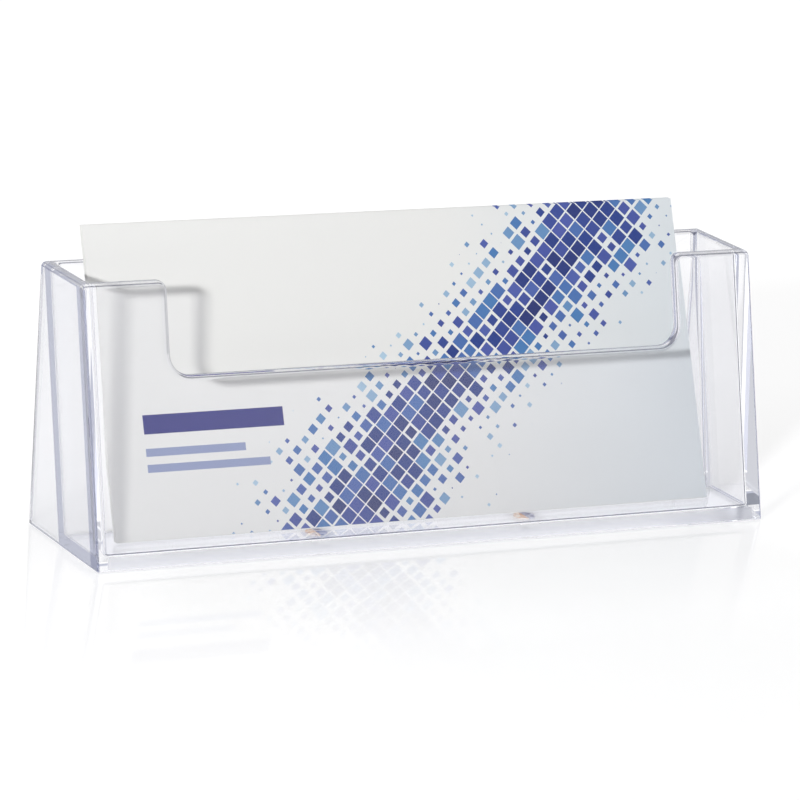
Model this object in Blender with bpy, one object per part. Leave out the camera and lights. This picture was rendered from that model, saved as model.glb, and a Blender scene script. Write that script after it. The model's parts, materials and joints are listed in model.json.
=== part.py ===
"""Desk brochure holder: a low clear pocket of five bonded panels, with three leaflets standing in it.

Metres, +Z up, front towards -Y. The origin lies on the table, under the middle of the whole object.
"""

import math

import bmesh
import bpy
from mathutils import Matrix

for leftover in list(bpy.data.objects):
    bpy.data.objects.remove(leftover, do_unlink=True)

# Leaflets: landscape sheets of a third of A4
LEAFLET_WIDTH = 0.210
LEAFLET_HEIGHT = 0.099
LEAFLET_THICKNESS = 0.00045
LEAFLET_CORNER = 0.001
LEAFLET_NAMES = ("leaflet_front", "leaflet_middle", "leaflet_rear")
LEAFLET_FOOT_SETBACK = 0.0120

# Clear holder
WALL = 0.0035
FLOOR = 0.0035
SIDE_CLEARANCE = 0.009
POCKET_DEPTH = 0.0258
HOLDER_HEIGHT = 0.085
PANEL_LEAN = math.radians(14.5)

# Front cut-out between the two ears
LIP_HEIGHT = 0.0564
EAR_WIDTH = 0.0282
LIP_CORNER = 0.0065
EAR_CORNER = 0.003

# Rounded edges and corners of the clear panels
REAR_CORNER = 0.0025
EDGE_ROUND = 0.0008

# Gate wells: shallow round recesses under the floor
GATE_SPACING = 0.074
GATE_DIAMETER = 0.007
GATE_DEPTH = 0.0010
GATE_SETBACK = 0.0120

# Gaps between neighbours
BOND_GAP = 0.0003
REST_GAP = 0.0003
SHEET_GAP = 0.0003

# How finely round shapes are divided
ARC_STEPS = 6
ROUND_SEGMENTS = 3
GATE_SIDES = 32
CUT_MARGIN = 0.005

# Sizes that follow from the ones above
holder_width = LEAFLET_WIDTH + 2 * (SIDE_CLEARANCE + WALL)
inner_width = holder_width - 2 * WALL
captured_width = inner_width - 2 * BOND_GAP
lean_slope = math.tan(PANEL_LEAN)
panel_run = WALL / math.cos(PANEL_LEAN)
bond_run = BOND_GAP / math.cos(PANEL_LEAN)
holder_depth = POCKET_DEPTH + 2 * panel_run + HOLDER_HEIGHT * lean_slope

# The stack stands on the floor and leans back on the top front edge of the back panel
sheet_pitch = LEAFLET_THICKNESS + SHEET_GAP
foot_depth = panel_run + FLOOR * lean_slope + LEAFLET_FOOT_SETBACK
foot_height = FLOOR + REST_GAP
edge_ahead = holder_depth - panel_run - foot_depth
edge_above = HOLDER_HEIGHT - foot_height
stack_behind = (len(LEAFLET_NAMES) - 1) * sheet_pitch + REST_GAP
edge_reach = math.hypot(edge_ahead, edge_above)
leaflet_lean = math.acos(stack_behind / edge_reach) - math.atan2(edge_above, edge_ahead)

# The front edge of the footprint, so that the object's box is centred on the origin
last_foot = foot_depth + (len(LEAFLET_NAMES) - 1) * sheet_pitch / math.cos(leaflet_lean)
rear_reach = max(holder_depth, last_foot + LEAFLET_HEIGHT * math.sin(leaflet_lean))
front_edge = -rear_reach / 2
rear_edge = front_edge + holder_depth

# Outline planes: local X and Y of an outline, and the direction in which it gets its thickness
ALONG_WIDTH = Matrix(((0, 0, 1, 0), (1, 0, 0, 0), (0, 1, 0, 0), (0, 0, 0, 1)))
ALONG_DEPTH = Matrix(((1, 0, 0, 0), (0, 0, -1, 0), (0, 1, 0, 0), (0, 0, 0, 1)))

parts = bpy.data.collections.new("brochure_holder")
cutters = bpy.data.collections.new("brochure_holder_cutters")
bpy.context.scene.collection.children.link(parts)
bpy.context.scene.collection.children.link(cutters)


def front_face(height):
    """Depth of the front panel's outer face at a height above the table."""
    return front_edge + height * lean_slope


def back_face(height):
    """Depth of the back panel's rear face at a height above the table."""
    return rear_edge - (HOLDER_HEIGHT - height) * lean_slope


def rounded_outline(corners):
    """Points of a closed outline, from (x, y, radius) corners in order, each corner with its arc."""
    points = []
    for index, (x, y, radius) in enumerate(corners):
        before = corners[index - 1]
        after = corners[(index + 1) % len(corners)]
        if radius == 0:
            points.append((x, y))
            continue
        arrive = math.atan2(y - before[1], x - before[0])
        leave = math.atan2(after[1] - y, after[0] - x)
        turn = (leave - arrive + math.pi) % (2 * math.pi) - math.pi
        tangent = radius * math.tan(abs(turn) / 2)
        side = math.copysign(1, turn)
        centre_x = x - tangent * math.cos(arrive) - side * radius * math.sin(arrive)
        centre_y = y - tangent * math.sin(arrive) + side * radius * math.cos(arrive)
        for step in range(ARC_STEPS + 1):
            angle = arrive - side * math.pi / 2 + turn * step / ARC_STEPS
            points.append((centre_x + radius * math.cos(angle), centre_y + radius * math.sin(angle)))
    return points


def plate(name, corners, thickness, placing, collection):
    """A flat outline given a thickness, half to each side of its plane, as a welded mesh object."""
    curve = bpy.data.curves.new(name, "CURVE")
    curve.dimensions = "2D"
    curve.fill_mode = "BOTH"
    curve.extrude = thickness / 2
    points = rounded_outline(corners)
    spline = curve.splines.new("POLY")
    spline.points.add(len(points) - 1)
    spline.use_cyclic_u = True
    for point, (x, y) in zip(spline.points, points):
        point.co = (x, y, 0, 1)
    drawn = bpy.data.objects.new(name + "_outline", curve)
    parts.objects.link(drawn)
    mesh = bpy.data.meshes.new_from_object(drawn.evaluated_get(bpy.context.evaluated_depsgraph_get()))
    bpy.data.objects.remove(drawn)
    mesh.name = name
    welded = bmesh.new()
    welded.from_mesh(mesh)
    bmesh.ops.remove_doubles(welded, verts=welded.verts, dist=1e-6)
    bmesh.ops.recalc_face_normals(welded, faces=welded.faces)
    bmesh.ops.dissolve_limit(welded, angle_limit=1e-4, verts=welded.verts, edges=welded.edges)
    welded.to_mesh(mesh)
    welded.free()
    solid = bpy.data.objects.new(name, mesh)
    collection.objects.link(solid)
    solid.matrix_world = placing
    return solid


def cut(solid, cutter):
    """Takes the cutter out of the solid and keeps the result as the solid's own mesh."""
    cutter.hide_render = True
    cutter.display_type = "WIRE"
    boolean = solid.modifiers.new("cut", "BOOLEAN")
    boolean.operation = "DIFFERENCE"
    boolean.solver = "EXACT"
    boolean.object = cutter
    bpy.context.view_layer.update()
    result = solid.evaluated_get(bpy.context.evaluated_depsgraph_get())
    mesh = bpy.data.meshes.new_from_object(result)
    mesh.name = solid.name
    solid.modifiers.clear()
    solid.data = mesh


def round_edges(solid, exposed):
    """Rounds the solid's sharp edges whose middle lies where exposed(x, y, z) holds."""
    least_sharp = math.radians(30)
    place = solid.matrix_world
    mesh = bmesh.new()
    mesh.from_mesh(solid.data)
    chosen = []
    for edge in mesh.edges:
        middle = place @ ((edge.verts[0].co + edge.verts[1].co) / 2)
        if edge.calc_face_angle(0) > least_sharp and exposed(*middle):
            chosen.append(edge)
    bmesh.ops.bevel(
        mesh,
        geom=chosen,
        offset=EDGE_ROUND,
        segments=ROUND_SEGMENTS,
        profile=0.5,
        affect="EDGES",
        clamp_overlap=True,
    )
    mesh.to_mesh(solid.data)
    mesh.free()


def is_bonded_end(x):
    """Whether a place across the width lies on the end of a panel that is bonded between the sides."""
    return abs(x) > captured_width / 2 - BOND_GAP


def finish(solid, colour, roughness, transmission):
    """Gives a piece its own material, and smooth shading across its round edges."""
    material = bpy.data.materials.new(solid.name)
    material.use_nodes = True
    shader = material.node_tree.nodes["Principled BSDF"]
    shader.inputs["Base Color"].default_value = (*colour, 1)
    shader.inputs["Roughness"].default_value = roughness
    shader.inputs["Metallic"].default_value = 0
    shader.inputs["Transmission Weight"].default_value = transmission
    solid.data.materials.clear()
    solid.data.materials.append(material)
    solid.data.shade_smooth()
    solid.data.set_sharp_from_angle(angle=math.radians(35))


def finish_clear(solid):
    finish(solid, colour=(0.94, 0.95, 0.98), roughness=0.03, transmission=1.0)


def leaning_corners(face, thickness_run, low, high):
    """Corners of a leaning panel's section, level at both ends, behind the face that face(height) gives."""
    return [
        (face(low), low, 0),
        (face(low) + thickness_run, low, 0),
        (face(high) + thickness_run, high, 0),
        (face(high), high, 0),
    ]


# Side panels, which also carry the holder at the back as upright fins
side_corners = [
    (front_face(0), 0, 0),
    (rear_edge, 0, 0),
    (rear_edge, HOLDER_HEIGHT, REAR_CORNER),
    (front_face(HOLDER_HEIGHT), HOLDER_HEIGHT, 0),
]
for name, side in (("left_side_panel", -1), ("right_side_panel", 1)):
    middle = side * (holder_width - WALL) / 2
    outer = side * holder_width / 2
    panel = plate(name, side_corners, WALL, Matrix.Translation((middle, 0, 0)) @ ALONG_WIDTH, parts)
    round_edges(panel, lambda x, y, z: abs(x - outer) < WALL / 4)
    finish_clear(panel)

# Front panel, leaning back, with the wide cut-out that leaves an ear at each end
front_panel = plate(
    "front_panel",
    leaning_corners(front_face, panel_run, 0, HOLDER_HEIGHT),
    captured_width,
    ALONG_WIDTH,
    parts,
)
half_opening = holder_width / 2 - EAR_WIDTH
above = HOLDER_HEIGHT + CUT_MARGIN
flare = half_opening + EAR_CORNER + CUT_MARGIN
notch_corners = [
    (-half_opening, LIP_HEIGHT, LIP_CORNER),
    (half_opening, LIP_HEIGHT, LIP_CORNER),
    (half_opening, HOLDER_HEIGHT, EAR_CORNER),
    (flare, HOLDER_HEIGHT, 0),
    (flare, above, 0),
    (-flare, above, 0),
    (-flare, HOLDER_HEIGHT, 0),
    (-half_opening, HOLDER_HEIGHT, EAR_CORNER),
]
notch_depth = HOLDER_HEIGHT * lean_slope + panel_run + 2 * CUT_MARGIN
notch_middle = front_face(HOLDER_HEIGHT / 2) + panel_run / 2
notch = plate(
    "front_notch",
    notch_corners,
    notch_depth,
    Matrix.Translation((0, notch_middle, 0)) @ ALONG_DEPTH,
    cutters,
)
cut(front_panel, notch)
round_edges(front_panel, lambda x, y, z: z > LIP_HEIGHT - EDGE_ROUND and not is_bonded_end(x))
finish_clear(front_panel)

# Back panel, leaning as the front does, its top flush with the fins' upright rear edges
back_panel = plate(
    "back_panel",
    leaning_corners(lambda height: back_face(height) - panel_run, panel_run, 0, HOLDER_HEIGHT),
    captured_width,
    ALONG_WIDTH,
    parts,
)
round_edges(back_panel, lambda x, y, z: z > HOLDER_HEIGHT - EDGE_ROUND and not is_bonded_end(x))
finish_clear(back_panel)

# Floor panel, let in between the other four, with two gate wells underneath
floor_run = POCKET_DEPTH - 2 * bond_run
floor_panel = plate(
    "floor_panel",
    leaning_corners(lambda height: front_face(height) + panel_run + bond_run, floor_run, 0, FLOOR),
    captured_width,
    ALONG_WIDTH,
    parts,
)
for side in (-1, 1):
    gate_depth = front_face(0) + panel_run + GATE_SETBACK
    bpy.ops.mesh.primitive_cylinder_add(
        vertices=GATE_SIDES,
        radius=GATE_DIAMETER / 2,
        depth=2 * GATE_DEPTH,
        location=(side * GATE_SPACING / 2, gate_depth, 0),
    )
    gate = bpy.context.object
    gate.name = "gate_well_left" if side < 0 else "gate_well_right"
    for holder in list(gate.users_collection):
        holder.objects.unlink(gate)
    cutters.objects.link(gate)
    cut(floor_panel, gate)
finish_clear(floor_panel)

# Leaflets, one behind the other, each standing on the floor and sliding out along its own lean
stack = bpy.data.objects.new("leaflet_stack", None)
parts.objects.link(stack)
stack.rotation_euler = (math.pi / 2 - leaflet_lean, 0, 0)
stack.location = (
    0,
    front_edge + foot_depth - LEAFLET_THICKNESS / 2 * math.cos(leaflet_lean),
    foot_height + LEAFLET_THICKNESS / 2 * math.sin(leaflet_lean),
)
half_leaflet = LEAFLET_WIDTH / 2
leaflet_corners = [
    (-half_leaflet, 0, LEAFLET_CORNER),
    (half_leaflet, 0, LEAFLET_CORNER),
    (half_leaflet, LEAFLET_HEIGHT, LEAFLET_CORNER),
    (-half_leaflet, LEAFLET_HEIGHT, LEAFLET_CORNER),
]
for place, name in enumerate(LEAFLET_NAMES):
    leaflet = plate(name, leaflet_corners, LEAFLET_THICKNESS, Matrix.Identity(4), parts)
    leaflet.parent = stack
    leaflet.location = (0, place * sheet_pitch * math.tan(leaflet_lean), -place * sheet_pitch)
    finish(leaflet, colour=(0.84, 0.85, 0.86), roughness=0.45, transmission=0)

print("holder", [round(1000 * size, 2) for size in (holder_width, holder_depth, HOLDER_HEIGHT)], "mm")
print("leaflet lean", round(math.degrees(leaflet_lean), 2), "degrees")
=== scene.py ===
import json
import math

import bmesh
import bpy
from mathutils import Matrix, Vector


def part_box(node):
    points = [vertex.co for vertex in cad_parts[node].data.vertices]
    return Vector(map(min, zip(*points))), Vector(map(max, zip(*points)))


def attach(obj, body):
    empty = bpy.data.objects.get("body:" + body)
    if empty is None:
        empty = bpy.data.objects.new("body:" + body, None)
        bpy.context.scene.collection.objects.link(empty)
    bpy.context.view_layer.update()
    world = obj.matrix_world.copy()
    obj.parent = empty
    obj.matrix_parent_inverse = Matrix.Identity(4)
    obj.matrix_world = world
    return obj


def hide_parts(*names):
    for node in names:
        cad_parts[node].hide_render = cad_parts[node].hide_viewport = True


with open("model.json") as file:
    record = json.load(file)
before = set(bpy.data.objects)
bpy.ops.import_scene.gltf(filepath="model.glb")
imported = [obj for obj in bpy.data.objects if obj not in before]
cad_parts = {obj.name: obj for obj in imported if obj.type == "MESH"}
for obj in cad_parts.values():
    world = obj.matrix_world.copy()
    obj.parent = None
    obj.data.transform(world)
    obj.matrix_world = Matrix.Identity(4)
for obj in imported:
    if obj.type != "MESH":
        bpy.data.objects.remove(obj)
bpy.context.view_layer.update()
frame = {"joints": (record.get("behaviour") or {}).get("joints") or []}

# The clear finish: polished polystyrene, a little blue in the depth of its rims. That blue is put on as
# a painted shade, which darkens at a slant and along rounded edges, and as a painted glow where a look
# is lost inside. Faint flow marks from the moulding bend what is seen through it, and fine rub marks
# dull it here and there.
MM = 0.001
PLASTIC_IOR = 1.52
FLOW_SCALE, RUB_SCALE = 38, 900
FLOW_TINT, RUB_DULLING = 0.03, 0.03
SLANT_RUN = 0.4
CREASE_START, CREASE_RUN = 0.17, 0.1
PLUS_X_TURN, PLUS_X_EASE = 0.3, 0.7
LOST_INSIDE = 3.5
PAINTED_DEPTH_GLOW = (0.27, 0.281, 0.335, 1)
PAINTED_SIDE_GLOW = (0.32, 0.325, 0.35, 1)
SIDE_MARGIN = 0.5 * MM
MIX_FACTOR, MIX_BELOW, MIX_ABOVE, MIX_RESULT = 0, 6, 7, 2

side_low, side_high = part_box("right_side_panel")


class Finish:
    """A socket among a material's nodes: sums on it add Math nodes, add() adds any other node."""

    def __init__(self, tree, socket=None):
        self.tree = tree
        self.socket = socket

    def add(self, kind, settings=(), inputs=(), output=0):
        """Adds a node, sets it up, fills or links its sockets and returns one of its outputs."""
        node = self.tree.nodes.new(kind)
        for name, value in dict(settings).items():
            if name == "stops":
                for place, colour in value[1:-1]:
                    node.color_ramp.elements.new(place)
                for element, (place, colour) in zip(node.color_ramp.elements, value):
                    element.position = place
                    element.color = colour
            else:
                setattr(node, name, value)
        for name, value in dict(inputs).items():
            if isinstance(value, Finish):
                self.tree.links.new(value.socket, node.inputs[name])
            else:
                node.inputs[name].default_value = value
        return Finish(self.tree, node.outputs[output])

    def math(self, operation, *others):
        inputs = dict(enumerate((self,) + others))
        return self.add("ShaderNodeMath", {"operation": operation}, inputs)

    def __add__(self, other):
        return self.math("ADD", other)

    __radd__ = __add__

    def __mul__(self, other):
        return self.math("MULTIPLY", other)

    __rmul__ = __mul__

    def __sub__(self, other):
        return self.math("SUBTRACT", other)

    def __rsub__(self, first):
        return self.add("ShaderNodeMath", {"operation": "SUBTRACT"}, {0: first, 1: self})

    def __truediv__(self, other):
        return self.math("DIVIDE", other)

    def __gt__(self, other):
        return self.math("GREATER_THAN", other)

    def __lt__(self, other):
        return self.math("LESS_THAN", other)

    def clamped(self):
        """Holds a value between 0 and 1."""
        return self.math("MAXIMUM", 0).math("MINIMUM", 1)

    def part(self, axis):
        """The X, Y or Z of a vector."""
        return self.add("ShaderNodeSeparateXYZ", inputs={0: self}, output=axis)

    def ray(self, fact):
        """A fact about the ray that meets the surface."""
        return self.add("ShaderNodeLightPath", output=fact)

    def blend(self, below, above):
        """Lays one colour over another by this mask."""
        return self.add(
            "ShaderNodeMix",
            {"data_type": "RGBA"},
            {MIX_FACTOR: self, MIX_BELOW: below, MIX_ABOVE: above},
            MIX_RESULT,
        )

    def cover(self, output):
        """Makes this shader the surface of its material or world."""
        self.tree.links.new(self.socket, output.inputs["Surface"])


def tint(red, green, blue):
    """A colour written as it looks, from 0 to 255, in the renderer's linear values."""
    channels = []
    for value in (red, green, blue):
        share = value / 255
        channels.append(
            share / 12.92 if share <= 0.04045 else ((share + 0.055) / 1.055) ** 2.4
        )
    return (*channels, 1)


def new_finish(name):
    """A bare material, as the start of its nodes and the output they end in."""
    material = bpy.data.materials.new(name)
    material.use_nodes = True
    material.node_tree.nodes.clear()
    output = material.node_tree.nodes.new("ShaderNodeOutputMaterial")
    return material, Finish(material.node_tree), output


def clear_finish(
    name, pale, slant_shade, shade, slant=0.25, polish=0.004, outside=False, crease=0.0
):
    """Clear plastic, pale face on, with a painted shade that darkens it at a slant and along the crease
    of a rounded edge.

    Lamps shine through it, dimmed to a shade. A look that is lost inside ends in a painted glow.
    """
    material, start, output = new_finish(name)
    place = start.add("ShaderNodeTexCoord", output="Object")
    flow = start.add(
        "ShaderNodeTexNoise",
        inputs={"Vector": place, "Scale": FLOW_SCALE, "Detail": 2.0, "Roughness": 0.4},
    )
    rub = start.add(
        "ShaderNodeTexNoise",
        inputs={"Vector": place, "Scale": RUB_SCALE, "Detail": 3.0, "Roughness": 0.7},
    )
    ripple = start.add(
        "ShaderNodeBump", inputs={"Strength": 0.01, "Distance": 0.2 * MM, "Height": flow}
    )
    lost = start.ray("Glossy Depth") > LOST_INSIDE
    in_side = place.part("X").math("ABSOLUTE") > side_low.x - SIDE_MARGIN
    facing = start.add("ShaderNodeLayerWeight", inputs={"Blend": 0.5}, output="Facing")
    painted_shade_mask = ((facing - slant) / SLANT_RUN).math("MAXIMUM", 0)
    if outside:
        painted_shade_mask = painted_shade_mask * start.ray("Is Camera Ray")
    # Painted shade: a dark line along rounded edges, weaker on faces turned towards +X, away from the
    # camera.
    if crease:
        turned = start.add("ShaderNodeTexCoord", output="Normal")
        turned_to_plus_x = turned.part("X") > PLUS_X_TURN
        turned = start.add("ShaderNodeVectorMath", {"operation": "ABSOLUTE"}, {0: turned})
        flat = turned.part("X").math("MAXIMUM", turned.part("Y"))
        flat = flat.math("MAXIMUM", turned.part("Z"))
        middle = ((1 - flat - CREASE_START) / CREASE_RUN).clamped()
        painted_shade_mask = painted_shade_mask.math("MAXIMUM", crease * middle * (1 - PLUS_X_EASE * turned_to_plus_x))
    looked_at = start.ray("Diffuse Depth") < 0.5
    painted_shade_mask = (painted_shade_mask * looked_at + FLOW_TINT * flow).math("MINIMUM", 1)
    # The emission is a painted glow, standing in for light piped along inside the plastic.
    plastic = start.add(
        "ShaderNodeBsdfPrincipled",
        inputs={
            "Emission Color": lost.blend((0, 0, 0, 1), in_side.blend(PAINTED_DEPTH_GLOW, PAINTED_SIDE_GLOW)),
            "Emission Strength": 1.0,
            "Base Color": painted_shade_mask.blend(pale, slant_shade),
            "Roughness": polish + RUB_DULLING * (rub - 0.5).math("MAXIMUM", 0),
            "IOR": PLASTIC_IOR,
            "Transmission Weight": 1.0,
            "Normal": ripple,
        },
    )
    shadow = start.add("ShaderNodeBsdfTransparent", inputs={"Color": shade})
    start.add(
        "ShaderNodeMixShader", inputs={0: start.ray("Is Shadow Ray"), 1: plastic, 2: shadow}
    ).cover(output)
    material.cycles.emission_sampling = "NONE"
    return material


wall_finish = clear_finish(
    "clear_wall", tint(254, 254, 255), tint(212, 213, 219), tint(254, 254, 255)
)
# The rim and ear finishes paint a dark line along rounded edges, a painted shade for the dark lines that
# the edges refract.
rim_with_painted_crease = clear_finish(
    "clear_rim",
    tint(250, 250, 253),
    tint(40, 44, 74),
    tint(138, 138, 142),
    slant=0.44,
    crease=0.9,
)
ear_with_painted_crease = clear_finish(
    "clear_ear",
    tint(250, 250, 253),
    tint(40, 44, 74),
    tint(190, 190, 194),
    slant=0.44,
    crease=0.9,
)
# The corner finish is painted dark even face on, a painted shade for the dark band that an upright
# corner refracts.
corner_painted_shade = clear_finish(
    "clear_corner",
    tint(140, 144, 168),
    tint(80, 84, 112),
    tint(196, 196, 200),
    slant=0.42,
    crease=0.7,
)
# The edge finish darkens at a slant for the camera alone, a painted shade.
edge_band_painted_shade = clear_finish(
    "clear_edge", tint(254, 254, 255), tint(100, 106, 142), tint(206, 206, 210), outside=True
)
foot_finish = clear_finish(
    "clear_foot", tint(240, 241, 245), tint(230, 231, 237), tint(254, 254, 255), polish=0.32
)
# The fillet finish is painted dark all over, a painted shade for the dark line that the fillet refracts.
fillet_painted_shade = clear_finish(
    "clear_fillet", tint(92, 94, 108), tint(60, 62, 78), tint(254, 254, 255)
)

# The bond: where two panels run into each other the plastic is one, as in a moulding, so light
# passes from panel to panel with no bend.
bond_finish, start, output = new_finish("clear_bond")
start.add("ShaderNodeBsdfTransparent").cover(output)

# The holder's blank: a clear pocket with a leaning front and back, side walls with a gusset behind
# and a wide cut-out in front. It is moulded in clear polystyrene, so its corners are filleted inside
# and its rims are softly rounded.
PANEL_LEAN = math.radians(14.5)
LIP_HEIGHT = 56.4 * MM
EAR_WIDTH = 28.2 * MM
CORNER_FILLET = 2 * MM
FLOOR_FILLET = 0.9 * MM
LIP_CORNER = 6.5 * MM
EAR_CORNER = 3.0 * MM
TOP_ROUND = 1.5 * MM
RIM_ROUND = 0.7 * MM
RIM_MARGIN = 1 * MM
EDGE_BAND = 5 * MM
CUT_MARGIN = 10 * MM
CLOSE = 0.02 * MM
WELD = 0.01 * MM
SHARP = math.radians(35)
LEVEL, RISING, UPRIGHT, HANGING = 0.9, 0.5, 0.3, -0.2
SIDEWAYS = 0.2
(
    WALL_FINISH,
    RIM_WITH_PAINTED_CREASE,
    BOND_FINISH,
    CORNER_PAINTED_SHADE,
    EDGE_BAND_PAINTED_SHADE,
    FOOT_FINISH,
    FILLET_PAINTED_SHADE,
    EAR_WITH_PAINTED_CREASE,
    GATE_FINISH,
) = range(9)

wall = side_high.x - side_low.x
half_width, inner_half = side_high.x, side_low.x
front_foot, rear_plane = side_low.y, side_high.y
height = side_high.z
floor_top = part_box("floor_panel")[1].z
cut_out_half = half_width - EAR_WIDTH
lean = math.tan(PANEL_LEAN)
panel_run = wall / math.cos(PANEL_LEAN)
back_foot = rear_plane - lean * height
pocket_depth = back_foot - front_foot
pocket_drop = height - floor_top
foot_top = floor_top + FLOOR_FILLET


def start_piece(name, low, high):
    """Adds a block between two corners and leaves it in edit mode, all selected."""
    bpy.ops.object.select_all(action="DESELECT")
    bpy.ops.mesh.primitive_cube_add(size=1)
    piece = bpy.context.object
    piece.name = piece.data.name = name
    bpy.ops.object.mode_set(mode="EDIT")
    bpy.ops.transform.resize(value=Vector(high) - Vector(low))
    bpy.ops.transform.translate(value=(Vector(low) + Vector(high)) / 2)
    return piece


def pick(kind, wanted):
    """Selects the vertices, edges or faces in edit mode that pass a test, and nothing else."""
    bpy.ops.mesh.select_mode(type=kind)
    bpy.ops.mesh.select_all(action="DESELECT")
    mesh = bmesh.from_edit_mesh(bpy.context.object.data)
    kinds = {"VERT": mesh.verts, "EDGE": mesh.edges, "FACE": mesh.faces}
    for element in kinds[kind]:
        if wanted(element):
            element.select_set(True)
    bmesh.update_edit_mesh(bpy.context.object.data)


def assign(piece, finish, wanted):
    """Gives one of a piece's finishes to its faces in edit mode that pass a test."""
    pick("FACE", wanted)
    piece.active_material_index = finish
    bpy.ops.object.material_slot_assign()


def near(value, place):
    return abs(value - place) < CLOSE


def every_end(edge, test):
    return all(test(corner.co) for corner in edge.verts)


def on_leaning_plane(face, foot):
    return all(near(corner.co.y - lean * corner.co.z, foot) for corner in face.verts)


def on_outer_side(face):
    return all(near(abs(corner.co.x), half_width) for corner in face.verts)


holder = start_piece(
    "holder_blank", (-half_width, front_foot, 0), (half_width, back_foot, height)
)
for finish in (
    wall_finish,
    rim_with_painted_crease,
    bond_finish,
    corner_painted_shade,
    edge_band_painted_shade,
    foot_finish,
    fillet_painted_shade,
    ear_with_painted_crease,
):
    holder.data.materials.append(finish)
pick("VERT", lambda corner: corner.co.z > height / 2)
bpy.ops.transform.translate(value=(0, lean * height, 0))

# The pocket: the top is drawn in to the rim and pushed down along the lean to the floor. A fillet
# runs up its inner corners and round its floor, as a moulding needs.
pick("FACE", lambda face: face.normal.z > LEVEL)
bpy.ops.mesh.inset(thickness=wall)
bpy.ops.transform.resize(
    value=(1, (pocket_depth - 2 * panel_run) / (pocket_depth - 2 * wall), 1),
    center_override=(0, front_foot + pocket_depth / 2 + lean * height, height),
)
bpy.ops.mesh.extrude_region_move(
    TRANSFORM_OT_translate={"value": (0, -lean * pocket_drop, -pocket_drop)}
)
pick(
    "EDGE",
    lambda edge: every_end(edge, lambda end: near(abs(end.x), inner_half))
    and abs(edge.verts[0].co.z - edge.verts[1].co.z) > pocket_drop / 2,
)
bpy.ops.mesh.bevel(offset=CORNER_FILLET, segments=6, affect="EDGES")
pick("EDGE", lambda edge: every_end(edge, lambda end: near(end.z, floor_top)))
bpy.ops.mesh.bevel(offset=FLOOR_FILLET, segments=3, affect="EDGES")


def on_front_fillet(face):
    middle = face.calc_center_median()
    from_front = middle.y - lean * middle.z - front_foot - panel_run
    return floor_top < middle.z < foot_top and from_front < FLOOR_FILLET


# The front fillet along the floor is painted dark, a painted shade.
assign(holder, FILLET_PAINTED_SHADE, on_front_fillet)

# The gussets: each side wall runs on behind the back panel to one upright plane, which stiffens
# the back and keeps the holder from tipping over.
for side in (-1, 1):
    pick("FACE", lambda face: on_leaning_plane(face, back_foot))
    bpy.ops.mesh.bisect(plane_co=(side * inner_half, 0, 0), plane_no=(1, 0, 0))
pick(
    "FACE",
    lambda face: on_leaning_plane(face, back_foot)
    and abs(face.calc_center_median().x) > inner_half,
)
bpy.ops.mesh.extrude_region_move()
bpy.ops.transform.resize(value=(1, 0, 1), center_override=(0, rear_plane, 0))
bpy.ops.mesh.select_all(action="SELECT")
bpy.ops.mesh.remove_doubles(threshold=WELD)
bpy.ops.object.mode_set(mode="OBJECT")

# The cut-out: the front is cut down to the lip, with round corners, so that leaflets can be taken.
# The ears that it leaves at the ends have small round corners of their own.
cut_out_rear = (
    front_foot + panel_run + lean * height + back_foot - panel_run + lean * LIP_HEIGHT
) / 2
cutter = start_piece(
    "front_cut_out",
    (-cut_out_half, front_foot - CUT_MARGIN, LIP_HEIGHT),
    (cut_out_half, cut_out_rear, height + CUT_MARGIN),
)
pick(
    "EDGE",
    lambda edge: every_end(edge, lambda end: near(end.z, LIP_HEIGHT))
    and near(edge.verts[0].co.x, edge.verts[1].co.x),
)
bpy.ops.mesh.bevel(offset=LIP_CORNER, segments=8, affect="EDGES")
bpy.ops.object.mode_set(mode="OBJECT")


def apply_boolean(piece, tool):
    """Cuts a tool's shape out of a piece, and removes the tool."""
    bpy.ops.object.select_all(action="DESELECT")
    bpy.context.view_layer.objects.active = piece
    piece.select_set(True)
    cut = piece.modifiers.new("cut", "BOOLEAN")
    cut.operation, cut.solver, cut.object = "DIFFERENCE", "EXACT", tool
    bpy.ops.object.modifier_apply(modifier=cut.name)
    bpy.data.objects.remove(tool)


apply_boolean(holder, cutter)
bpy.ops.object.mode_set(mode="EDIT")
pick(
    "EDGE",
    lambda edge: every_end(
        edge, lambda end: near(abs(end.x), cut_out_half) and near(end.z, height)
    ),
)
bpy.ops.mesh.bevel(offset=EAR_CORNER, segments=5, affect="EDGES")

# The edges: the front band of each side darkens at a slant for the camera alone, a painted shade for the
# front panel's edge seen through the side; the foot of the front is a little frosted, and the rims get a
# bluer painted shade along their rounded edges. Every sharp edge is rounded, the top and the rear the
# most.
for side in (-1, 1):
    pick("FACE", lambda face: all(near(c.co.x, side * half_width) for c in face.verts))
    bpy.ops.mesh.bisect(
        plane_co=(0, front_foot + EDGE_BAND / math.cos(PANEL_LEAN), 0),
        plane_no=(0, math.cos(PANEL_LEAN), -math.sin(PANEL_LEAN)),
    )
assign(
    holder,
    EDGE_BAND_PAINTED_SHADE,
    lambda face: on_outer_side(face)
    and all(c.co.y - lean * c.co.z < front_foot + 2 * EDGE_BAND for c in face.verts),
)
pick("FACE", lambda face: on_leaning_plane(face, front_foot))
bpy.ops.mesh.bisect(plane_co=(0, 0, foot_top), plane_no=(0, 0, 1))
for side in (-1, 1):
    pick("FACE", lambda face: on_leaning_plane(face, front_foot))
    bpy.ops.mesh.bisect(plane_co=(side * inner_half, 0, 0), plane_no=(1, 0, 0))
assign(
    holder,
    FOOT_FINISH,
    lambda face: on_leaning_plane(face, front_foot)
    and face.calc_center_median().z < foot_top
    and abs(face.calc_center_median().x) < inner_half,
)


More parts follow.
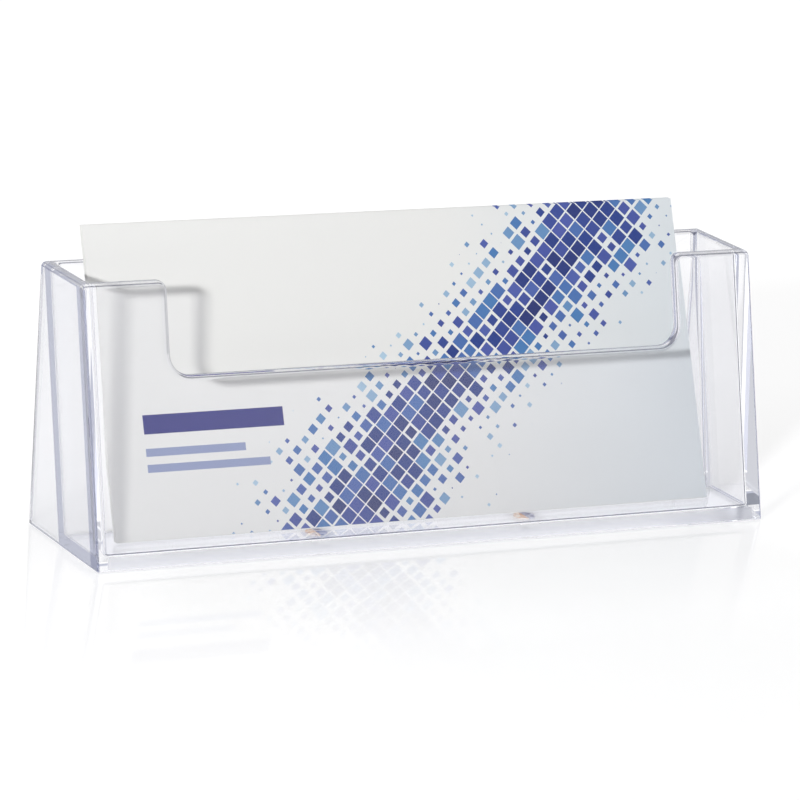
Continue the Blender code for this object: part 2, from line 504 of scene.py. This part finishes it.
def on_rim(face):
    middle = face.calc_center_median()
    return (
        all(near(corner.co.z, height) for corner in face.verts)
        or (face.normal.z > RISING and middle.z > LIP_HEIGHT - RIM_MARGIN)
        or (abs(face.normal.x) > SIDEWAYS and abs(middle.x) < cut_out_half + RIM_MARGIN)
    )


def is_sharp(edge):
    return edge.is_manifold and edge.calc_face_angle_signed() > SHARP


def is_top_rim(edge):
    beside = [face.material_index for face in edge.link_faces]
    return (
        RIM_WITH_PAINTED_CREASE in beside and every_end(edge, lambda end: end.z > LIP_HEIGHT - RIM_MARGIN)
    ) or every_end(edge, lambda end: near(end.y, rear_plane))


# The rims get the finish with painted dark lines along their rounded edges, a painted shade.
assign(holder, RIM_WITH_PAINTED_CREASE, on_rim)
pick("EDGE", lambda edge: is_sharp(edge) and is_top_rim(edge))
bpy.ops.transform.edge_bevelweight(value=1)
pick("EDGE", lambda edge: is_sharp(edge) and not is_top_rim(edge))
bpy.ops.transform.edge_bevelweight(value=RIM_ROUND / TOP_ROUND)
bpy.ops.object.mode_set(mode="OBJECT")
rounding = holder.modifiers.new("rounding", "BEVEL")
rounding.limit_method, rounding.width, rounding.segments = "WEIGHT", TOP_ROUND, 5
rounding.material, rounding.use_clamp_overlap = RIM_WITH_PAINTED_CREASE, False
bpy.ops.object.modifier_apply(modifier=rounding.name)
bpy.ops.object.mode_set(mode="EDIT")
# The outer upright rounded edges are painted dark, a painted shade; the ears' upright ends keep a pale
# colour with painted dark lines.
assign(
    holder,
    CORNER_PAINTED_SHADE,
    lambda face: face.material_index == RIM_WITH_PAINTED_CREASE and abs(face.normal.z) < UPRIGHT,
)
assign(
    holder,
    EAR_WITH_PAINTED_CREASE,
    lambda face: face.material_index == CORNER_PAINTED_SHADE
    and abs(face.calc_center_median().x) < half_width - TOP_ROUND,
)
assign(
    holder,
    WALL_FINISH,
    lambda face: face.material_index == RIM_WITH_PAINTED_CREASE and face.normal.z < HANGING,
)
bpy.ops.object.mode_set(mode="OBJECT")

# The gate wells: under the floor, where the plastic was let into the mould and then broken off, so that
# the roof of each shallow well is rough. Its roof is coloured with painted glints, warm on its left half
# and violet-grey on its right, and given a faint painted glow. A look that has come through one or two
# faces of the plastic finds the roof smooth, so that each well shows once.
GATE_SPACING = 74 * MM
GATE_DIAMETER = 7 * MM
GATE_DEPTH = 1.0 * MM
GATE_SETBACK = 15.6 * MM
GATE_ROUGHNESS = 0.5 * MM
GATE_FACETS = 900
GATE_SEED = 3
SMOOTH_PASSES, SMOOTH_SPREAD = 1.5, 1
gate_finish, start, output = new_finish("gate_break")
place = start.add("ShaderNodeTexCoord", output="Object")
facet = start.add(
    "ShaderNodeTexVoronoi", inputs={"Vector": place, "Scale": GATE_FACETS}, output="Color"
)
facet = facet.part("X")
left_half = (place.part("X") / GATE_SPACING + 0.5).math("FRACT") > 0.5
painted_glints = left_half.blend(
    facet.blend(tint(226, 226, 240), tint(84, 86, 130)),
    facet.blend(tint(255, 251, 244), tint(212, 160, 108)),
)
broken = start.add(
    "ShaderNodeBsdfPrincipled",
    inputs={
        "Base Color": painted_glints,
        "Roughness": 0.12 + 0.2 * facet,
        "IOR": PLASTIC_IOR,
        "Transmission Weight": 0.25,
        "Emission Color": painted_glints,
        "Emission Strength": 0.32,
    },
)
smooth = start.add("ShaderNodeBsdfTransparent")
shown = (start.ray("Transmission Depth") - SMOOTH_PASSES).math("ABSOLUTE") > SMOOTH_SPREAD
start.add("ShaderNodeMixShader", inputs={0: shown, 1: smooth, 2: broken}).cover(output)
gate_finish.cycles.emission_sampling = "NONE"
holder.data.materials.append(gate_finish)
for side in (-1, 1):
    bpy.ops.object.select_all(action="DESELECT")
    bpy.ops.mesh.primitive_cylinder_add(
        vertices=32,
        radius=GATE_DIAMETER / 2,
        depth=2 * GATE_DEPTH,
        location=(side * GATE_SPACING / 2, front_foot + GATE_SETBACK, 0),
        end_fill_type="TRIFAN",
    )
    stub = bpy.context.object
    bpy.ops.object.transform_apply(location=True, rotation=True, scale=True)
    for finish in holder.data.materials:
        stub.data.materials.append(finish)
    bpy.ops.object.mode_set(mode="EDIT")
    pick("FACE", lambda face: face.normal.z > LEVEL)
    bpy.ops.mesh.subdivide(number_cuts=3)
    pick(
        "VERT",
        lambda corner: near(corner.co.z, GATE_DEPTH)
        and all(face.normal.z > LEVEL for face in corner.link_faces),
    )
    bpy.ops.transform.vertex_random(offset=GATE_ROUGHNESS, seed=GATE_SEED + side)
    assign(stub, GATE_FINISH, lambda face: face.normal.z > -LEVEL)
    bpy.ops.object.mode_set(mode="OBJECT")
    apply_boolean(holder, stub)

# The five panels: the blank is parted just inside each pair of inner faces, so that every panel is
# a closed body of its own, with its bond faces where the next one joins it.
PARTING = 0.05 * MM
CUT_CLOSE = 1e-7
front_normal = Vector((0, math.cos(PANEL_LEAN), -math.sin(PANEL_LEAN)))
left_cut = (Vector((-inner_half + CORNER_FILLET + PARTING, 0, 0)), Vector((1, 0, 0)))
right_cut = (Vector((inner_half - CORNER_FILLET - PARTING, 0, 0)), Vector((1, 0, 0)))
front_cut = (Vector((0, front_foot + panel_run + PARTING, 0)), front_normal)
back_cut = (Vector((0, back_foot - panel_run - PARTING, 0)), front_normal)


def part_panel(name, before=(), beyond=()):
    """Copies the blank and keeps what lies before some planes and beyond others."""
    panel = holder.copy()
    panel.data = holder.data.copy()
    panel.name = panel.data.name = name
    bpy.context.scene.collection.objects.link(panel)
    bpy.ops.object.select_all(action="DESELECT")
    bpy.context.view_layer.objects.active = panel
    panel.select_set(True)
    bpy.ops.object.mode_set(mode="EDIT")
    for (place, normal), turn in [(cut, 1) for cut in before] + [(cut, -1) for cut in beyond]:
        bpy.ops.mesh.select_mode(type="FACE")
        bpy.ops.mesh.select_all(action="SELECT")
        bpy.ops.mesh.bisect(
            plane_co=place,
            plane_no=turn * normal,
            use_fill=True,
            clear_outer=True,
            threshold=CUT_CLOSE,
        )
        panel.active_material_index = BOND_FINISH
        bpy.ops.object.material_slot_assign()
    bpy.ops.object.mode_set(mode="OBJECT")
    bpy.ops.object.shade_smooth_by_angle(angle=SHARP)
    flat = panel.modifiers.new("flat_faces", "WEIGHTED_NORMAL")
    flat.weight, flat.keep_sharp = 100, True
    bpy.ops.object.modifier_apply(modifier=flat.name)
    return panel


panels = {
    "left_side_panel": part_panel("clear_left_side", before=[left_cut]),
    "right_side_panel": part_panel("clear_right_side", beyond=[right_cut]),
    "front_panel": part_panel(
        "clear_front", before=[right_cut, front_cut], beyond=[left_cut]
    ),
    "back_panel": part_panel(
        "clear_back", before=[right_cut], beyond=[left_cut, back_cut]
    ),
    "floor_panel": part_panel(
        "clear_floor", before=[right_cut, back_cut], beyond=[left_cut, front_cut]
    ),
}
for node, panel in panels.items():
    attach(panel, "holder")
    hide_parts(node)
bpy.data.objects.remove(holder)

# The leaflets: three sheets of coated paper, each folded twice to a third of its height. They stand
# loose in the pocket, leaning on the back panel, and any one can be drawn out. The print is a drift
# of small diamonds in blues, with three plain bars beside it. Its sizes are in millimetres.
PAPER = 0.12 * MM
FOLD_STEPS = 6
FOLD_WELD = 0.001 * MM
FLAP_SHORT = 2 * MM
PLAIN_FACE = 1
PAPER_WHITE = tint(238, 238, 236)
FIBRE_TINT = tint(206, 208, 212)
FIBRE_SCALE, FIBRE_SHOWS = 1500, 0.06
TILE = 4.4
TILE_TURN = math.sqrt(0.5)
LARGEST_DIAMOND, DIAMOND_GROWTH = 0.455, 0.47
DRIFT_ACROSS, DRIFT_UP = 22, 46
DRIFT_STEEP, DRIFT_SLOW = 0.72, 0.69
DRIFT_HALF, DRIFT_EDGE = 24, 1.25
SWING, SWING_RATE = 7, 0.06
SCATTER = 0.75
EDGE_PALES, HUE_SPREAD = 0.42, 0.6
OTHER_DRAW = (31.7, 11.3, 0)
WASH_FROM, WASH_RUN = 20, 85
WASH_TINT = tint(227, 233, 237)
BARS = (
    (-92, -44, 33, 39, tint(44, 44, 128)),
    (-92, -58, 26, 28.5, tint(150, 160, 196)),
    (-92, -50, 21, 23.5, tint(150, 160, 196)),
)


def paper_surface(start, place, colour):
    """Coated paper in a colour: its fibre shows a little in the tone, the shine and the relief."""
    fibre = start.add(
        "ShaderNodeTexNoise",
        inputs={"Vector": place, "Scale": FIBRE_SCALE, "Detail": 4.0, "Roughness": 0.65},
    )
    relief = start.add(
        "ShaderNodeBump", inputs={"Strength": 0.05, "Distance": 0.05 * MM, "Height": fibre}
    )
    return start.add(
        "ShaderNodeBsdfPrincipled",
        inputs={
            "Base Color": (FIBRE_SHOWS * fibre).blend(colour, FIBRE_TINT),
            "Roughness": 0.34 + 0.16 * fibre,
            "Normal": relief,
        },
    )


def plain_paper(name):
    """White coated paper, as on the leaflets' inner and rear leaves."""
    material, start, output = new_finish(name)
    place = start.add("ShaderNodeTexCoord", output="Object")
    paper_surface(start, place, PAPER_WHITE).cover(output)
    return material


def printed_paper(name, foot, slide):
    """The leaflet's face, with the print set out from its foot and up along its slide."""
    material, start, output = new_finish(name)
    place = start.add("ShaderNodeTexCoord", output="Object")
    across = place.part("X") / MM
    up = start.add(
        "ShaderNodeVectorMath", {"operation": "DOT_PRODUCT"}, {0: place, 1: slide}, "Value"
    )
    up = (up - foot.dot(slide)) / MM

    first = (across + up) * (TILE_TURN / TILE)
    second = (up - across) * (TILE_TURN / TILE)
    column, row = first.math("FLOOR"), second.math("FLOOR")
    from_middle = (first - column - 0.5).math("ABSOLUTE")
    from_middle = from_middle.math("MAXIMUM", (second - row - 0.5).math("ABSOLUTE"))
    tile_across = (column - row) * (TILE_TURN * TILE)
    tile_up = (column + row + 1) * (TILE_TURN * TILE)
    cell = start.add("ShaderNodeCombineXYZ", inputs={0: column, 1: row})
    other_cell = start.add(
        "ShaderNodeVectorMath", {"operation": "ADD"}, {0: cell, 1: OTHER_DRAW}
    )
    chance, hue = (
        start.add(
            "ShaderNodeTexWhiteNoise", {"noise_dimensions": "2D"}, {"Vector": drawn}, "Value"
        )
        for drawn in (cell, other_cell)
    )

    bend = SWING * (tile_up * SWING_RATE).math("SINE")
    off_drift = (tile_across - DRIFT_ACROSS) * DRIFT_STEEP - (tile_up - DRIFT_UP) * DRIFT_SLOW
    off_drift = ((off_drift + bend) / DRIFT_HALF).math("ABSOLUTE")
    fade = DRIFT_EDGE - off_drift + SCATTER * (chance - 0.5)
    diamond = from_middle < (DIAMOND_GROWTH * fade).math("MINIMUM", LARGEST_DIAMOND)
    blues = start.add(
        "ShaderNodeValToRGB",
        {
            "stops": [
                (0.0, tint(20, 30, 98)),
                (0.28, tint(27, 58, 138)),
                (0.5, tint(74, 88, 168)),
                (0.72, tint(70, 126, 184)),
                (1.0, tint(176, 205, 226)),
            ]
        },
        {0: (EDGE_PALES * off_drift + HUE_SPREAD * hue).math("MINIMUM", 1)},
    )
    ground = ((across - WASH_FROM) / WASH_RUN).clamped().blend(PAPER_WHITE, WASH_TINT)
    face = diamond.blend(ground, blues)
    for left, right, low, high, colour in BARS:
        bar = (across > left) * (across < right) * (up > low) * (up < high)
        face = bar.blend(face, colour)
    paper_surface(start, place, face).cover(output)
    return material


def folded_leaflet(name, node, joint):
    """Folds a sheet twice, gives it its paper and stands it where its node is."""
    low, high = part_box(node)
    slide = Vector(joint["axis"]).normalized()
    span = high - low
    square = slide.z**2 - slide.y**2
    leaf = (span.z * slide.z - span.y * slide.y) / square
    thick = (span.y * slide.z - span.z * slide.y) / square
    foot = Vector((0, low.y, high.z - leaf * slide.z))
    wide_fold = (thick - PAPER) / 2
    tight_fold = wide_fold / 2
    fold_foot = wide_fold + PAPER / 2
    rise = leaf - fold_foot - tight_fold - PAPER / 2

    bpy.ops.object.select_all(action="DESELECT")
    bpy.ops.mesh.primitive_plane_add(size=1, rotation=(math.pi / 2, 0, 0))
    leaflet = bpy.context.object
    leaflet.name = leaflet.data.name = name
    bpy.ops.object.transform_apply(location=True, rotation=True, scale=True)
    bpy.ops.object.mode_set(mode="EDIT")
    bpy.ops.transform.resize(value=(span.x, 1, leaf - fold_foot))
    bpy.ops.transform.translate(value=(0, PAPER / 2, (leaf + fold_foot) / 2))
    pick("EDGE", lambda edge: every_end(edge, lambda end: near(end.z, fold_foot)))
    bpy.ops.mesh.spin(
        steps=2 * FOLD_STEPS,
        angle=math.pi,
        center=(0, PAPER / 2 + wide_fold, fold_foot),
        axis=(-1, 0, 0),
    )
    bpy.ops.mesh.extrude_region_move(TRANSFORM_OT_translate={"value": (0, 0, rise)})
    bpy.ops.mesh.spin(
        steps=FOLD_STEPS,
        angle=math.pi,
        center=(0, thick - PAPER / 2 - tight_fold, fold_foot + rise),
        axis=(1, 0, 0),
    )
    bpy.ops.mesh.extrude_region_move(
        TRANSFORM_OT_translate={"value": (0, 0, FLAP_SHORT - rise)}
    )
    bpy.ops.mesh.select_all(action="SELECT")
    bpy.ops.mesh.remove_doubles(threshold=FOLD_WELD)
    bpy.ops.mesh.normals_make_consistent(inside=False)
    bpy.ops.object.mode_set(mode="OBJECT")
    sheet = leaflet.modifiers.new("sheet", "SOLIDIFY")
    sheet.thickness, sheet.offset = PAPER, 0
    bpy.ops.object.modifier_apply(modifier=sheet.name)

    leaflet.data.materials.append(printed_paper(f"{name}_print", foot, slide))
    leaflet.data.materials.append(plain_paper(f"{name}_paper"))
    bpy.ops.object.mode_set(mode="EDIT")
    assign(leaflet, PLAIN_FACE, lambda face: not all(near(c.co.y, 0) for c in face.verts))
    bpy.ops.mesh.select_all(action="SELECT")
    bpy.ops.transform.rotate(
        value=math.atan2(slide.y, slide.z), orient_axis="X", center_override=(0, 0, 0)
    )
    bpy.ops.transform.translate(value=foot)
    bpy.ops.object.mode_set(mode="OBJECT")
    bpy.ops.object.shade_smooth_by_angle(angle=SHARP)
    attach(leaflet, joint["child"])
    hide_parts(node)


joints = {joint["child"]: joint for joint in frame["joints"]}
for which in ("front", "middle", "rear"):
    folded_leaflet(f"{which}_folder", f"leaflet_{which}", joints[f"{which}_leaflet"])

# The stage: a white table that runs out of sight, glossy up to the holder and a film of air below it.
# Its glow is raised behind the holder, a painted light that whitens the holder's cast shadow there, and
# beneath the pocket, a painted pool of light for what the clear walls throw down; in front of and under
# the holder it is lowered, a painted shade where the table mirrors it. The studio is white ahead, and
# darker at its sides and round the camera, with a soft key lamp at the front left and a broad one above.
TABLE_SIDE = 12
AIR_FILM = 0.1 * MM
TABLE_GLOW, PAINTED_LIGHT_BEHIND, PAINTED_MIRROR_SHADE, PAINTED_POOL_BENEATH = 0.34, 1.13, 0.8, 1.75
GLOSS_REACH, CLEAR_REACH, MIRROR_REACH = 0.12, 0.1, 0.08
GLOSSY, MATTE = 0.03, 0.6
KEY_LEFT, KEY_RISE = math.radians(49.3), math.radians(16.6)
KEY_DISTANCE, KEY_SIZE, KEY_POWER = 2.2, (0.22, 0.12), 38.6
TOP_PLACE, TOP_SIZE, TOP_POWER = (0, 0.1, 1.8), (1.6, 1.6), 9.6
AMBIENT = 0.24
LOOK_WAY = Vector((0.448, 0.857, -0.255))


def even(level):
    """White light of a strength."""
    return (level, level, level, 1)


bpy.ops.object.select_all(action="DESELECT")
bpy.ops.mesh.primitive_plane_add(size=TABLE_SIDE, location=(0, 0, -AIR_FILM))
table = bpy.context.object
table.name = table.data.name = "table"
table_finish, start, output = new_finish("white_table")
place = start.add("ShaderNodeTexCoord", output="Object")
grain = start.add("ShaderNodeTexNoise", inputs={"Vector": place, "Scale": 60, "Detail": 3.0})
table_tone = grain.blend(tint(240, 240, 240), tint(243, 243, 243))
aside = place.part("X").math("ABSOLUTE")
ahead = place.part("Y")
from_gate = start.add(
    "ShaderNodeVectorMath",
    {"operation": "DISTANCE"},
    {
        0: start.add("ShaderNodeCombineXYZ", inputs={0: aside, 1: ahead}),
        1: (GATE_SPACING / 2, front_foot + GATE_SETBACK, 0),
    },
    "Value",
)
behind = ((ahead - rear_plane) / CLEAR_REACH).clamped()
mirror_shade_mask = (back_foot - ahead).math("MINIMUM", half_width - aside) / pocket_depth
mirror_shade_mask = mirror_shade_mask.math("MINIMUM", 1 - (front_foot - ahead) / MIRROR_REACH).clamped()
beneath = (ahead - front_foot).math("MINIMUM", back_foot - ahead)
beneath = beneath.math("MINIMUM", inner_half - aside)
beneath = (beneath.math("MINIMUM", from_gate - GATE_DIAMETER / 2) / wall).clamped()
table_glow_with_painted_light = behind.blend(even(1), even(PAINTED_LIGHT_BEHIND))
table_glow_with_painted_light = mirror_shade_mask.blend(table_glow_with_painted_light, even(PAINTED_MIRROR_SHADE))
table_glow_with_painted_light = beneath.blend(table_glow_with_painted_light, even(PAINTED_POOL_BENEATH))
seen = start.ray("Is Camera Ray") + start.ray("Is Transmission Ray")
seen = (seen + start.ray("Is Glossy Ray")).math("MINIMUM", 1)
lacquer, matte = (
    start.add(
        "ShaderNodeBsdfPrincipled",
        inputs={
            "Base Color": table_tone,
            "Roughness": roughness + 0.02 * grain,
            "Emission Color": seen.blend(even(0), table_glow_with_painted_light),
            "Emission Strength": TABLE_GLOW,
        },
    )
    for roughness in (GLOSSY, MATTE)
)
away = ((front_foot - ahead) / GLOSS_REACH).clamped()
start.add("ShaderNodeMixShader", inputs={0: away, 1: lacquer, 2: matte}).cover(output)
table.data.materials.append(table_finish)


def soft_lamp(name, place, size, power):
    """A soft box of a width and a height that points at the middle of the holder."""
    lamp = bpy.data.lights.new(name, "AREA")
    lamp.shape, lamp.energy = "RECTANGLE", power
    lamp.size, lamp.size_y = size
    box = bpy.data.objects.new(name, lamp)
    box.location = place
    aim = Vector((0, 0, height / 2)) - box.location
    box.rotation_euler = aim.to_track_quat("-Z", "Y").to_euler()
    box.visible_camera = box.visible_glossy = box.visible_transmission = False
    bpy.context.scene.collection.objects.link(box)


key_way = Vector(
    (
        -math.sin(KEY_LEFT) * math.cos(KEY_RISE),
        -math.cos(KEY_LEFT) * math.cos(KEY_RISE),
        math.sin(KEY_RISE),
    )
)
soft_lamp("key_box", KEY_DISTANCE * key_way, KEY_SIZE, KEY_POWER)
soft_lamp("top_box", TOP_PLACE, TOP_SIZE, TOP_POWER)

studio = bpy.data.worlds.new("studio")
bpy.context.scene.world = studio
studio.use_nodes = True
studio.node_tree.nodes.clear()
start = Finish(studio.node_tree)
way = start.add("ShaderNodeTexCoord", output="Generated")
onward = start.add(
    "ShaderNodeVectorMath", {"operation": "DOT_PRODUCT"}, {0: way, 1: LOOK_WAY}, "Value"
)
room = start.add(
    "ShaderNodeValToRGB",
    {
        "stops": [
            (0.0, tint(96, 100, 124)),
            (0.12, tint(156, 160, 176)),
            (0.2, tint(246, 247, 250)),
            (0.3, tint(192, 195, 205)),
            (0.4, tint(116, 120, 136)),
            (0.5, tint(64, 68, 84)),
            (0.58, tint(152, 156, 168)),
            (0.68, tint(250, 250, 252)),
            (1.0, tint(255, 255, 255)),
        ]
    },
    {0: onward * 0.5 + 0.5},
)
room = start.ray("Is Camera Ray").blend(room, even(1))
first_look = start.ray("Diffuse Depth") < 0.5
seen = (start.ray("Is Glossy Ray") + start.ray("Is Transmission Ray")) * first_look
seen = (seen + start.ray("Is Camera Ray")).math("MINIMUM", 1)
bright = start.add("ShaderNodeBackground", inputs={"Color": room, "Strength": 1.0})
soft = start.add("ShaderNodeBackground", inputs={"Color": even(1), "Strength": AMBIENT})
sky = studio.node_tree.nodes.new("ShaderNodeOutputWorld")
start.add("ShaderNodeMixShader", inputs={0: seen, 1: soft, 2: bright}).cover(sky)

# The camera: a long lens, in front to the left and above, held a little tilted, so that the holder
# fills the width of the picture.
CAMERA_PLACE = Vector((-0.70408, -1.340885, 0.43896))
CAMERA_YAW, CAMERA_PITCH, CAMERA_ROLL = 27.586, 14.757, 3.803
CAMERA_LENS, CAMERA_SENSOR = 221.97, 36

yaw, pitch, roll = (
    math.radians(angle) for angle in (CAMERA_YAW, CAMERA_PITCH, CAMERA_ROLL)
)
forward = Vector(
    (
        math.sin(yaw) * math.cos(pitch),
        math.cos(yaw) * math.cos(pitch),
        -math.sin(pitch),
    )
)
level = Vector((math.cos(yaw), -math.sin(yaw), 0))
upright = level.cross(forward)
right = level * math.cos(roll) + upright * math.sin(roll)
top = upright * math.cos(roll) - level * math.sin(roll)
lens = bpy.data.cameras.new("photo_camera")
lens.lens, lens.sensor_width = CAMERA_LENS, CAMERA_SENSOR
camera = bpy.data.objects.new("photo_camera", lens)
camera.matrix_world = Matrix.Translation(CAMERA_PLACE) @ Matrix(
    (right, top, -forward)
).transposed().to_4x4()
bpy.context.scene.collection.objects.link(camera)
bpy.context.scene.camera = camera
bpy.context.scene.view_settings.view_transform = "Standard"
